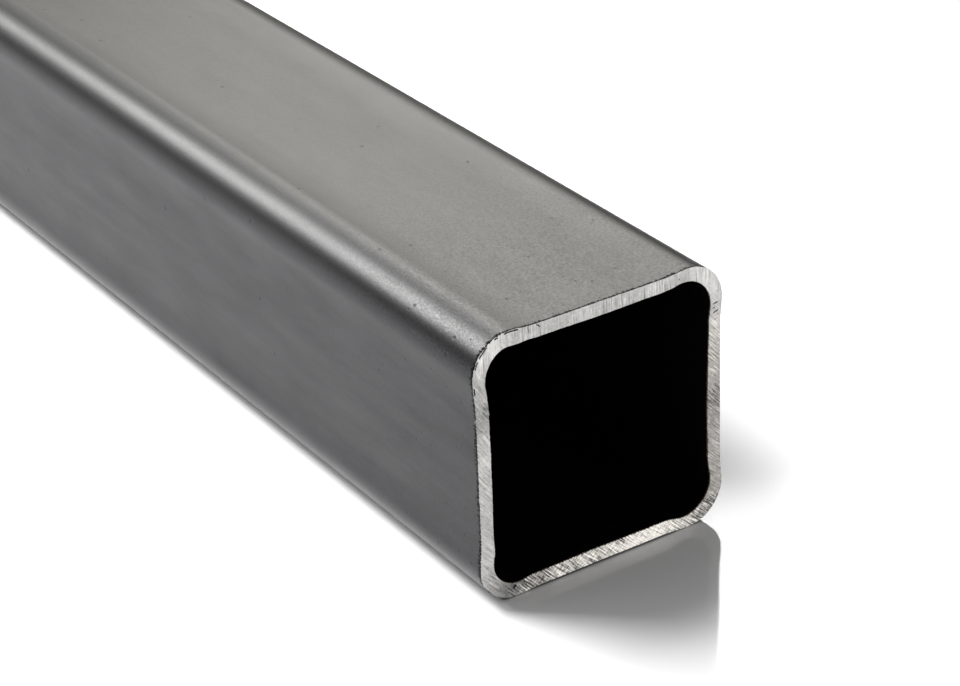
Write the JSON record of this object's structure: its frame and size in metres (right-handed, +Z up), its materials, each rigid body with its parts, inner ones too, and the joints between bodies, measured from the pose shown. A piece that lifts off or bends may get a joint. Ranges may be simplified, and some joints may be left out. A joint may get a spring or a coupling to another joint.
{
  "type": "square metal profile",
  "caption": "Cold-formed square steel hollow section: a cut length of tube with round corners, slightly hollow sides and open sawn ends, for frames, legs and supports.",
  "frame": {"origin": "on the floor, under the middle of the tube's length and width", "axes": "+X along the tube towards the sawn end seen in the picture, +Z up"},
  "size_m": [1, 0.06, 0.06],
  "materials": {
    "steel": "bare mill-finish cold-formed steel with a fine lengthwise rolling grain, and bright saw marks on both cut ends"
  },
  "bodies": {
    "root": {"square_tube": "steel"}
  },
  "joints": []
}
